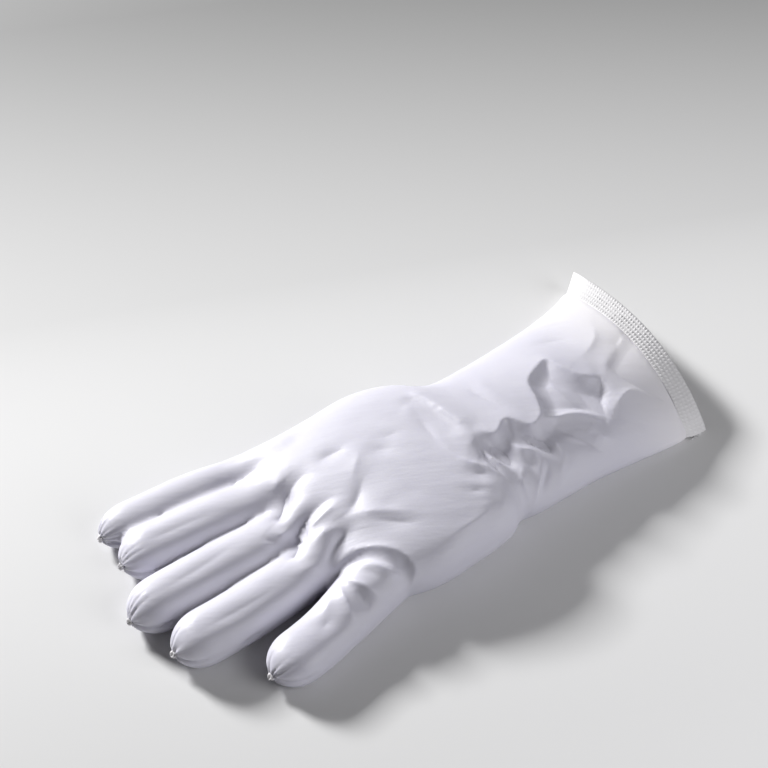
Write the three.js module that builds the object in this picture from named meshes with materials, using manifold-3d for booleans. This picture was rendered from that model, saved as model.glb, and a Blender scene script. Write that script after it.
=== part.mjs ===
// A long-cuff disposable glove of thin nitrile film, lying on a table with its back up.
// The fingers point along -X, the cuff's mouth opens along +X, the thumb is on the -Y side
// and the table is z = 0. The tables measure x from the middle fingertip and y from its axis.
// All sizes are in millimetres.

import * as THREE from 'three';
import { mergeVertices } from 'three/addons/utils/BufferGeometryUtils.js';
import Module from 'manifold-3d';

const wasm = await Module();
wasm.setup();

// Driving dimensions
const gloveLength = 296; // from the middle fingertip to the middle of the cuff's edge
const wall = 1.2; // thickness of the film as a solid
const mouthSkew = 0.128; // the cuff's edge is cut a little across the glove
const skewStart = 180; // from here the sections lean towards the cut
const bandWidth = 12; // the embossed hem round the mouth
const bandLap = 4; // how far the hem lies over the film
const bandWall = 1.1;
const tuckLength = 3; // the film steps in under the hem over this length
const gap = 0.3; // clearance between neighbouring pieces
const bandRows = 3; // embossed rows running round the hem
const rowStep = bandWidth / bandRows / 2; // from the top of a row to the dip beside it
const rowDepth = 0.35;

const overHand = 26; // spaces between the points over the upper side of a hand section
const underHand = 6; // and under it
const aroundDigit = 20; // points round a section of a digit, two for each pleat
const aroundBore = 12; // points round the hollow of a digit
const aroundNub = 10; // points round the nub at a tip
const handStep = 5.6; // spacing of the hand's sections
const sliver = 0.06; // facets thinner than this are merged with their neighbours
const underside = 0.6; // sine of the angle where a rounded side meets the flat underside
const sideShare = 1.3; // the sloping sides move in this much more than the crown
const leastEdge = 0.4; // least height of an edge above the inside of the underside

// The hand from the knuckles to the mouth, a row for each section: its place, its thumb-side
// and little-finger-side edges, the height of its crown, the height of each edge, and how
// pointed its sides are (0.5 is an ellipse, 1 a lens, and less than 0.5 is flatter on top).
const handSections = [
  { x: 71, near: -28, far: 42, crown: 10, nearRise: 5, farRise: 5, lens: 0.5 },
  { x: 80, near: -33, far: 49, crown: 18, nearRise: 9, farRise: 9, lens: 0.48 },
  { x: 92, near: -43, far: 51, crown: 25, nearRise: 10, farRise: 10, lens: 0.42 },
  { x: 106, near: -57, far: 49, crown: 29.5, nearRise: 11, farRise: 11, lens: 0.35 },
  { x: 124, near: -62.5, far: 47.5, crown: 33, nearRise: 12, farRise: 12, lens: 0.29 },
  { x: 144, near: -62, far: 47.5, crown: 35.5, nearRise: 13, farRise: 13, lens: 0.28 },
  { x: 160, near: -60.5, far: 43.5, crown: 36.5, nearRise: 13, farRise: 13, lens: 0.28 },
  { x: 169, near: -58, far: 39, crown: 37, nearRise: 12.5, farRise: 13, lens: 0.32 },
  { x: 175, near: -53.5, far: 35.5, crown: 36.5, nearRise: 11, farRise: 13, lens: 0.4 },
  { x: 184, near: -55, far: 33, crown: 35.5, nearRise: 11, farRise: 13, lens: 0.48 },
  { x: 204, near: -55, far: 33.5, crown: 36, nearRise: 10, farRise: 13, lens: 0.52 },
  { x: 226, near: -55, far: 36, crown: 35, nearRise: 9, farRise: 13, lens: 0.56 },
  { x: 248, near: -56.5, far: 39.5, crown: 33, nearRise: 7, farRise: 13, lens: 0.62 },
  { x: 270, near: -58, far: 45, crown: 30, nearRise: 4.5, farRise: 13, lens: 0.7 },
  { x: 286, near: -58.5, far: 52, crown: 27, nearRise: 3, farRise: 13.5, lens: 0.8 },
  { x: gloveLength, near: -58.5, far: 60, crown: 25.5, nearRise: 2, farRise: 14, lens: 0.88 },
];

// The digits, a row for each: the tip, two places along the shaft and the root inside the
// palm as seen from above, half the width and the thickness at the shaft and at the root, and
// the spacing of the sections along it.
const digits = [
  {
    name: 'thumb', tip: [36, -58.5], shaft: [56, -56.5], bend: [78, -51.5], root: [116, -40],
    halfWidth: 12.5, rootHalfWidth: 15, thick: 18, rootThick: 27, step: 7,
  },
  {
    name: 'index', tip: [8, -25.5], shaft: [34, -26], bend: [62, -24], root: [104, -18],
    halfWidth: 12.5, rootHalfWidth: 13.5, thick: 20, rootThick: 27, step: 15,
  },
  {
    name: 'middle', tip: [1, 0], shaft: [32, 1], bend: [62, 0.5], root: [108, 0],
    halfWidth: 12.5, rootHalfWidth: 13, thick: 20.5, rootThick: 28, step: 15,
  },
  {
    name: 'ring', tip: [12, 29], shaft: [34, 27.5], bend: [64, 25.5], root: [108, 18],
    halfWidth: 12.5, rootHalfWidth: 13, thick: 20, rootThick: 28, step: 15,
  },
  {
    name: 'little', tip: [12, 49], shaft: [34, 48], bend: [64, 46], root: [112, 33],
    halfWidth: 10.5, rootHalfWidth: 13, thick: 18, rootThick: 26, step: 15,
  },
];
const tipSections = [0, 1.2, 3, 5.5, 9]; // distances from the tip
const boreTipSections = [3.6, 6, 9.5];
const tipLength = 15; // the rounded end of a digit
const tipRise = 0.38; // height of the sealed tip, as a share of the digit's thickness
const digitFlat = 0.75; // sine of the angle where a digit's side meets its flat underside
const pleats = aroundDigit / 2; // gathers that run into each tip
const pleatDepth = 0.09; // as a share of the digit's radius
const pleatReach = 5; // how fast the gathers fade along the digit
const neck = 1.8; // radius of the gathered neck at the tip
// The sealed nub outside the neck, from inside the neck outwards: distance out, and radius
const nubProfile = [
  { out: -0.8, radius: 1.3 },
  { out: 0.4, radius: 1.2 },
  { out: 1.5, radius: 2 },
  { out: 2.6, radius: 1.9 },
  { out: 3.3, radius: 1 },
];
const nubDroop = 0.15; // how much lower it gets for each millimetre outwards

// The main folds, seen from above: ridges rise and creases fall. width is the half-width, and
// deepest is the place of the greatest rise along the path, from 0 at its start to 1.
const folds = [
  {
    name: 'ring_middle_valley', rise: -4, width: 4.5, deepest: 0.3,
    path: [[86, 14], [92, 15], [101, 13], [110, 8]],
  },
  {
    name: 'middle_index_valley', rise: -4, width: 4.5, deepest: 0.3,
    path: [[82, -8], [88, -4], [97, -3], [110, -9]],
  },
  {
    name: 'knuckle_valley', rise: -3, width: 4, deepest: 0.4,
    path: [[84, -10], [90, -11], [99, -19]],
  },
  {
    name: 'knuckle_ridge', rise: 2, width: 5, deepest: 0.3,
    path: [[98, -14], [107, -14], [119, -5], [136, 6]],
  },
  {
    name: 'thumb_valley', rise: -5, width: 4.5, deepest: 0.5,
    path: [[93, -33], [99, -34], [104, -41], [110, -53]],
  },
  {
    name: 'thumb_valley_lip', rise: 2.5, width: 4.5, deepest: 0.5,
    path: [[94, -26], [103, -29], [111, -38], [116, -50]],
  },
  {
    name: 'thumb_collar', rise: 2.5, width: 3.5, deepest: 0.5,
    path: [[92, -40], [97, -42], [103, -51], [104, -61]],
  },
  {
    name: 'thumb_ridge', rise: 2, width: 3.5, deepest: 0.5,
    path: [[87, -43], [89, -49], [92, -60]],
  },
  {
    name: 'thumb_ridge_lower', rise: 2, width: 3.5, deepest: 0.5,
    path: [[82, -46], [79, -52], [75, -63]],
  },
  {
    name: 'thumb_dent', rise: -3, width: 4, deepest: 0.5,
    path: [[83, -47], [85, -59]],
  },
  {
    name: 'palm_crease', rise: -2.5, width: 5, deepest: 0.4,
    path: [[98, -15], [110, -27], [130, -43]],
  },
  {
    name: 'palm_dent', rise: -2, width: 5, deepest: 0.6,
    path: [[108, 15], [124, 11], [148, 2]],
  },
  {
    name: 'palm_wave', rise: -1.5, width: 5, deepest: 0.4,
    path: [[112, -8], [132, -16], [154, -19]],
  },
  {
    name: 'heel_ridge', rise: 2, width: 3.5, deepest: 0.8,
    path: [[150, -21], [162, -32], [170, -36]],
  },
  {
    name: 'heel_ridge_lower', rise: 2, width: 3.5, deepest: 0.8,
    path: [[139, -28], [153, -37], [167, -44]],
  },
  {
    name: 'wrist_step', rise: -3.5, width: 5, deepest: 0.6,
    path: [[168, 20], [175, -4], [177, -20], [178, -36], [175, -52]],
  },
  {
    name: 'wrist_hang', rise: 2.5, width: 3, deepest: 0.6,
    path: [[187, -22], [184, -38], [178, -52]],
  },
  {
    name: 'wrist_hang_valley', rise: -2.5, width: 3, deepest: 0.5,
    path: [[191, -21], [190, -40], [183, -53]],
  },
  {
    name: 'wrist_bulge', rise: 2.5, width: 3.5, deepest: 0.6,
    path: [[198, -28], [195, -42], [186, -54]],
  },
  {
    name: 'wrist_dark_valley', rise: -3.5, width: 4, deepest: 0.4,
    path: [[200, -31], [205, -40], [204, -50]],
  },
  {
    name: 'top_lobe', rise: 3, width: 4.5, deepest: 0.5,
    path: [[179, -20], [191, -18], [200, -25], [209, -23], [214, -8], [232, 3]],
  },
  {
    name: 'cuff_dent', rise: -6, width: 7, deepest: 0.5,
    path: [[234, -1], [228, -15], [231, -33]],
  },
  {
    name: 'cuff_dent_lip', rise: 3, width: 4, deepest: 0.6,
    path: [[206, -27], [221, -36], [235, -43]],
  },
  {
    name: 'cuff_ridge', rise: 3, width: 4, deepest: 0.4,
    path: [[262, -11], [252, -20], [241, -32], [235, -44]],
  },
  {
    name: 'cuff_facet', rise: -2, width: 6, deepest: 0.4,
    path: [[253, -30], [262, -38], [275, -44]],
  },
  {
    name: 'cuff_top_wave', rise: -1.5, width: 4, deepest: 0.5,
    path: [[194, 14], [193, -2], [201, -20]],
  },
];

const { clamp, lerp, smoothstep } = THREE.MathUtils;

// Smooth value of one column of a table at x, through the rows.
function columnAt(rows, column, x) {
  const last = rows.length - 1;
  const after = rows.findIndex((row) => row.x > x);
  const k = clamp(after < 0 ? last - 1 : after - 1, 0, last - 1);
  const slope = (a, b) => (rows[b][column] - rows[a][column]) / (rows[b].x - rows[a].x);
  const tangent = (j) => slope(Math.max(j - 1, 0), Math.min(j + 1, last));
  const span = rows[k + 1].x - rows[k].x;
  const t = (x - rows[k].x) / span;
  const [t2, t3] = [t * t, t * t * t];
  return (2 * t3 - 3 * t2 + 1) * rows[k][column] + (t3 - 2 * t2 + t) * span * tangent(k)
    + (3 * t2 - 2 * t3) * rows[k + 1][column] + (t3 - t2) * span * tangent(k + 1);
}

// A rounded side that runs into a flat underside: how far down a point is, from 0 to 1.
const downBy = (sine, flat) => Math.sin(Math.min(1, -sine / flat) * Math.PI / 2);

// A point of the hand at a section and an angle, moved in from the skin by an inset: 0 is the
// little-finger edge, 90 degrees the crown and 180 the thumb-side edge.
function handPoint(x, angle, inset) {
  const at = (column) => columnAt(handSections, column, x);
  const [c, s] = [Math.cos(angle), Math.sin(angle)];
  const near = at('near') + inset * sideShare;
  const far = at('far') - inset * sideShare;
  const y = (near + far) / 2 + ((far - near) / 2) * c;
  const edge = Math.max(lerp(at('nearRise'), at('farRise'), (1 + c) / 2), inset + leastEdge);
  const z = s >= 0
    ? edge + (at('crown') - inset - edge) * Math.pow(s, 2 * at('lens'))
    : edge - (edge - inset) * downBy(s, underside);
  return new THREE.Vector3(x + mouthSkew * smoothstep(x, skewStart, gloveLength) * y, y, z);
}

// How far the folds raise the skin at a place seen from above.
function foldRise(x, y) {
  let total = 0;
  for (const { path, rise, width, deepest } of folds) {
    const lengths = path.slice(1).map((p, i) => Math.hypot(p[0] - path[i][0], p[1] - path[i][1]));
    let [nearest, along, run] = [Infinity, 0, 0];
    lengths.forEach((length, i) => {
      const [[ax, ay], [bx, by]] = [path[i], path[i + 1]];
      const k = clamp(((x - ax) * (bx - ax) + (y - ay) * (by - ay)) / length ** 2, 0, 1);
      const d = Math.hypot(x - lerp(ax, bx, k), y - lerp(ay, by, k));
      if (d < nearest) [nearest, along] = [d, run + k * length];
      run += length;
    });
    const t = along / run;
    const strength = t < deepest ? t / deepest : (1 - t) / (1 - deepest);
    total += rise * Math.sqrt(Math.max(0, strength)) * Math.exp(-((nearest / width) ** 2));
  }
  return total;
}

// Outward normals of a grid of closed rings.
function ringNormals(rings) {
  const n = rings[0].length;
  return rings.map((ring, i) => ring.map((_, j) => {
    const round = ring[(j + 1) % n].clone().sub(ring[(j + n - 1) % n]);
    const [before, after] = [rings[Math.max(i - 1, 0)], rings[Math.min(i + 1, rings.length - 1)]];
    return round.cross(after[j].clone().sub(before[j])).normalize();
  }));
}

// The rings with the folds pressed into their upper side.
function folded(rings) {
  const normals = ringNormals(rings);
  return rings.map((ring, i) => ring.map((p, j) => {
    const n = normals[i][j];
    return p.clone().addScaledVector(n, foldRise(p.x, p.y) * smoothstep(n.z, 0, 0.5));
  }));
}

// A closed body through rings of points, with a fan over each end.
function loft(rings) {
  const n = rings[0].length;
  const points = rings.flat();
  const index = [];
  for (let i = 0; i + 1 < rings.length; i++) {
    for (let j = 0; j < n; j++) {
      const [a, b] = [i * n + j, i * n + ((j + 1) % n)];
      index.push(a, b, a + n, b, b + n, a + n);
    }
  }
  [0, rings.length - 1].forEach((i) => {
    const centre = rings[i].reduce((sum, p) => sum.add(p), new THREE.Vector3()).divideScalar(n);
    points.push(centre);
    for (let j = 0; j < n; j++) {
      const [a, b] = [i * n + j, i * n + ((j + 1) % n)];
      index.push(...(i === 0 ? [b, a] : [a, b]), points.length - 1);
    }
  });
  const geometry = new THREE.BufferGeometry().setFromPoints(points);
  geometry.setIndex(index);
  return geometry;
}

// three.js geometry to a solid that can be joined and cut, and back.
function solid(geometry) {
  const bare = geometry.clone();
  ['normal', 'uv'].forEach((name) => bare.deleteAttribute(name));
  const merged = mergeVertices(bare, 1e-4);
  return new wasm.Manifold(new wasm.Mesh({
    numProp: 3,
    vertProperties: merged.attributes.position.array,
    triVerts: new Uint32Array(merged.index.array),
  }));
}

function geometryOf(body) {
  const { vertProperties, triVerts } = body.getMesh();
  const geometry = new THREE.BufferGeometry();
  geometry.setAttribute('position', new THREE.BufferAttribute(vertProperties, 3));
  geometry.setIndex(new THREE.BufferAttribute(triVerts, 1));
  geometry.computeVertexNormals();
  return geometry;
}

const shifted = (ring, dx) => ring.map((p) => p.clone().add(new THREE.Vector3(dx, 0, 0)));

const anglesRound = (count) => Array.from({ length: count }, (_, j) => (j * 2 * Math.PI) / count);

const stationsFrom = (from, to, step) => {
  const count = Math.round((to - from) / step);
  return Array.from({ length: count + 1 }, (_, i) => from + (i * (to - from)) / count);
};

const handAngles = [
  ...Array.from({ length: overHand }, (_, j) => (j * Math.PI) / overHand),
  ...Array.from({ length: underHand }, (_, j) => Math.PI + (j * Math.PI) / underHand),
];
const handRings = (stations, insetAt) => folded(stations
  .map((x) => handAngles.map((angle) => handPoint(x, angle, insetAt(x)))));

const spineOf = (digit) => new THREE.CatmullRomCurve3(
  [digit.tip, digit.shaft, digit.bend, digit.root].map(([x, y]) => new THREE.Vector3(x, y, 0)),
);

// A digit's rings, from the neck at its tip to its root inside the palm.
function digitRings(digit, around, tipStations, depth, inset) {
  const spine = spineOf(digit);
  const length = spine.getLength();
  const stations = [...tipStations, ...stationsFrom(tipLength, length, digit.step)];
  return folded(stations.map((s) => {
    const centre = spine.getPointAt(s / length);
    const along = spine.getTangentAt(s / length);
    const side = new THREE.Vector3(along.y, -along.x, 0);
    const towardsRoot = smoothstep(s, 0.35 * length, length);
    const halfWidth = lerp(digit.halfWidth, digit.rootHalfWidth, towardsRoot);
    const halfThick = lerp(digit.thick, digit.rootThick, towardsRoot) / 2;
    const round = Math.sqrt(1 - (1 - Math.min(1, s / tipLength)) ** 2);
    centre.z = lerp(tipRise * digit.thick, halfThick, round);
    return anglesRound(around).map((angle) => {
      const sine = Math.sin(angle);
      const up = sine >= 0 ? sine : -downBy(sine, digitFlat);
      const pleat = 1 + depth * Math.cos(pleats * angle) * Math.exp(-s / pleatReach);
      const point = centre.clone()
        .addScaledVector(side, -Math.max(neck, halfWidth * round - inset) * pleat * Math.cos(angle));
      point.z = Math.max(inset, centre.z + Math.max(neck, halfThick * round - inset) * pleat * up);
      return point;
    });
  }));
}

// The nub of gathered and sealed film outside a digit's neck.
function nubRings(digit) {
  const out = spineOf(digit).getTangentAt(0).negate();
  const side = new THREE.Vector3(out.y, -out.x, 0);
  return nubProfile.map((row) => {
    const centre = new THREE.Vector3(...digit.tip, tipRise * digit.thick - nubDroop * row.out)
      .addScaledVector(out, row.out);
    return anglesRound(aroundNub).map((angle) => centre.clone()
      .addScaledVector(side, row.radius * Math.cos(angle))
      .add(new THREE.Vector3(0, 0, row.radius * Math.sin(angle))));
  }).reverse();
}

// The skin of the whole glove: one film, hollow from the mouth to the fingertips.
function filmSolid() {
  const bandStart = gloveLength - bandWidth;
  const filmEnd = bandStart + bandLap;
  const stations = [
    ...stationsFrom(handSections[0].x, bandStart - tuckLength, handStep),
    ...stationsFrom(bandStart, filmEnd, rowStep),
  ];
  const tuck = (x) => (bandWall + gap) * smoothstep(x, bandStart - tuckLength, bandStart);
  const hollow = handRings(stations.slice(1), (x) => wall + tuck(x));
  const outside = [loft(handRings(stations, tuck))];
  const inside = [loft([...hollow, shifted(hollow[hollow.length - 1], bandLap)])];
  for (const digit of digits) {
    outside.push(loft(digitRings(digit, aroundDigit, tipSections, pleatDepth, 0)));
    outside.push(loft(nubRings(digit)));
    inside.push(loft(digitRings(digit, aroundBore, boreTipSections, 0, wall)));
  }
  const joined = (list) => list.map(solid).reduce((whole, piece) => whole.add(piece));
  return joined(outside).subtract(joined(inside)).simplify(sliver);
}

// The embossed hem round the mouth.
function bandSolid() {
  const stations = stationsFrom(gloveLength - bandWidth, gloveLength, rowStep);
  const row = (x) => (Math.round((gloveLength - x) / rowStep) % 2 ? rowDepth : 0);
  const hollow = handRings(stations, () => bandWall);
  const bore = [shifted(hollow[0], -1), ...hollow, shifted(hollow[hollow.length - 1], 1)];
  return solid(loft(handRings(stations, row))).subtract(solid(loft(bore)));
}

const film = new THREE.MeshStandardMaterial({ color: 0xdcdcec, roughness: 0.42, metalness: 0 });
const hem = new THREE.MeshStandardMaterial({ color: 0xe6e6ea, roughness: 0.3, metalness: 0 });

function named(name, geometry, material) {
  const mesh = new THREE.Mesh(geometry, material);
  mesh.name = name;
  return mesh;
}

const glove = new THREE.Group();
glove.add(named('glove_film', geometryOf(filmSolid()), film));
glove.add(named('cuff_band', geometryOf(bandSolid()), hem));

const box = new THREE.Box3().setFromObject(glove);
glove.position.set(-(box.min.x + box.max.x) / 2, -(box.min.y + box.max.y) / 2, -box.min.z);

export default glove;
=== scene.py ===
import math

import bmesh
import bpy
import numpy as np
from mathutils import Matrix, Vector, noise
from mathutils.bvhtree import BVHTree


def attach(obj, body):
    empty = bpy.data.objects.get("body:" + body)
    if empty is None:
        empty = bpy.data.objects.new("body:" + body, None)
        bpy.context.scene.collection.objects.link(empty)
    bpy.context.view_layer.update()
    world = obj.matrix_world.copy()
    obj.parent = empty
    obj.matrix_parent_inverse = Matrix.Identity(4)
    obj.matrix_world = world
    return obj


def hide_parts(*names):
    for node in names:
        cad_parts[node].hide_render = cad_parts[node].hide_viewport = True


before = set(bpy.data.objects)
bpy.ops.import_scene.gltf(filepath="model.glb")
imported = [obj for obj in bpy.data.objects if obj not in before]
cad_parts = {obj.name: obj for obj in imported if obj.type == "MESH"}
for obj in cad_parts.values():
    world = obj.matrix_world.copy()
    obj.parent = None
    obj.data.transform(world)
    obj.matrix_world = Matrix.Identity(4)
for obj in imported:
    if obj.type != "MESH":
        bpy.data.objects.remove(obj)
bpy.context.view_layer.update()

# A disposable nitrile glove that lies flat on a table, its back up. Its shape is worked out in
# millimetres, with x from the middle fingertip to the cuff and y from the middle finger's axis,
# and moved to its place at the end.
MM = 0.001
TO_PLACE = Matrix.Scale(MM, 4) @ Matrix.Translation((-150.675, 4.832, 0))

# The hand: its length, how much its mouth slants and from where on, how much more the sides move
# in than the crown, how soon a side runs into the flat underside, the least rise of an edge, and
# the place from which the cuff is smoothed less
GLOVE_LENGTH = 296
MOUTH_SKEW = 0.128
SKEW_START = 180
SIDE_SHARE = 1.3
UNDERSIDE = 0.6
LEAST_EDGE = 0.4
CUFF_START = 225

# The hem, which laps over the end of the film: its width, wall, gap, thin inner edge and how far
# its corners are drawn in there; then the stretch where the film steps in, its end and its wall
HEM_WIDTH = 12
HEM_START = GLOVE_LENGTH - HEM_WIDTH
HEM_EDGE = HEM_START - 1.5
HEM_WALL = 0.8
HEM_GAP = 0.15
FEATHER_INSET = 0.3
FEATHER_WALL = 0.04
CORNER_DRAW = 0.9
TUCK = 3
FILM_END = HEM_START + 4
FILM_WALL = 0.8

# The raised dashes of the hem: how many go round it, the points to each, their rows and height
DASHES = 126
DASH_POINTS = 5
DASH_ROWS = 5
ROW_POINTS = 7
DASH_HEIGHT = 0.55
# Shares of the way round the hem, from its little-finger corner over the crown: where the plain
# corner ends (it is painted near-white, as painted highlight), where the dashes begin and where
# they grow shallow
HIGHLIGHT_CORNER_ENDS = (0.02, 0.08)
DASHES_BEGIN = (0.03, 0.09)
DASHES_WANE = (0.24, 0.42)

# The torn threads at the hem's corner and the knots at the tips
FRAYS = 5
FRAY_LENGTH = 3.2
FRAY_RADII = (0.4, 0.12)
NUB_WIDTH = 1.6
NUB_LENGTH = 1.3

# x, thumb-side edge, little-finger-side edge, crown, rise of each edge, how pointed the sides are
HAND = np.array((
    (71, -28, 42, 10, 5, 5, 0.5),
    (80, -33, 49, 18, 9, 9, 0.48),
    (92, -43, 51, 25, 10, 10, 0.42),
    (106, -57, 49, 29.5, 11, 11, 0.35),
    (124, -62.5, 47.5, 33, 12, 12, 0.29),
    (144, -62, 47.5, 35.5, 13, 13, 0.28),
    (160, -60.5, 43.5, 36.5, 13, 13, 0.28),
    (169, -58, 39, 37, 12.5, 13, 0.32),
    (175, -53.5, 35.5, 36.5, 11, 13, 0.4),
    (184, -55, 33, 35.5, 11, 13, 0.48),
    (204, -55, 33.5, 36, 10, 13, 0.52),
    (226, -55, 36, 35, 9, 13, 0.56),
    (248, -56.5, 39.5, 33, 7, 13, 0.62),
    (270, -58, 45, 30, 4.5, 13, 0.7),
    (286, -58.5, 52, 27, 3, 13.5, 0.8),
    (296, -58.5, 60, 25.5, 2, 14, 0.88),
), float)

# name: tip, shaft, bend and root seen from above, half-widths and thicknesses at shaft and root
DIGITS = {
    "thumb": (((36, -58.5), (56, -56.5), (78, -51.5), (116, -40)), (12.5, 15), (18, 27)),
    "index": (((8, -25.5), (34, -26), (62, -24), (104, -18)), (12.5, 13.5), (20, 27)),
    "middle": (((1, 0), (32, 1), (62, 0.5), (108, 0)), (12.5, 13), (20.5, 28)),
    "ring": (((12, 29), (34, 27.5), (64, 25.5), (108, 18)), (12.5, 13), (20, 28)),
    "little": (((12, 49), (34, 48), (64, 46), (112, 33)), (10.5, 13), (18, 26)),
}
# Sections near a tip, the length of the tip, and the step between the sections along the shaft
NEAR_TIP = (0.2, 0.9, 1.8, 3, 4.5, 6.3, 8.3, 10.5, 12.7)
TIP_LENGTH = 15
SHAFT_STEP = 3
# From this share of a finger and of the thumb on it grows thicker towards the palm
SWELL_FROM = (0.6, 0.35)
# Height of the sealed point as a share of the thickness, how soon a side runs into the flat
# underside, how sharply a tip ends (less is blunter), and the least half-width
TIP_RISE = 0.38
DIGIT_FLAT = 0.75
TIP_POINT = 0.5
NECK = 1.8
# The pleats at a tip: how far they are felt, their number, depth, length and how it sways, how
# sharp their valleys are and how much of a pleat lies below the skin
GATHER_REACH = 16
GATHER_MARGIN = 6
PLEATS = 13
PLEAT_DEPTH = 1.8
PLEAT_LENGTH = 4.4
PLEAT_SWAY = 1.8
PLEAT_SHARP = 0.8
PLEAT_SINK = 0.62
# The crease low on the sides of a tip: its depth, half-width and slope
CREASE_DEPTH = 1.2
CREASE_WIDTH = 1.1
CREASE_SLOPE = 0.07

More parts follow.
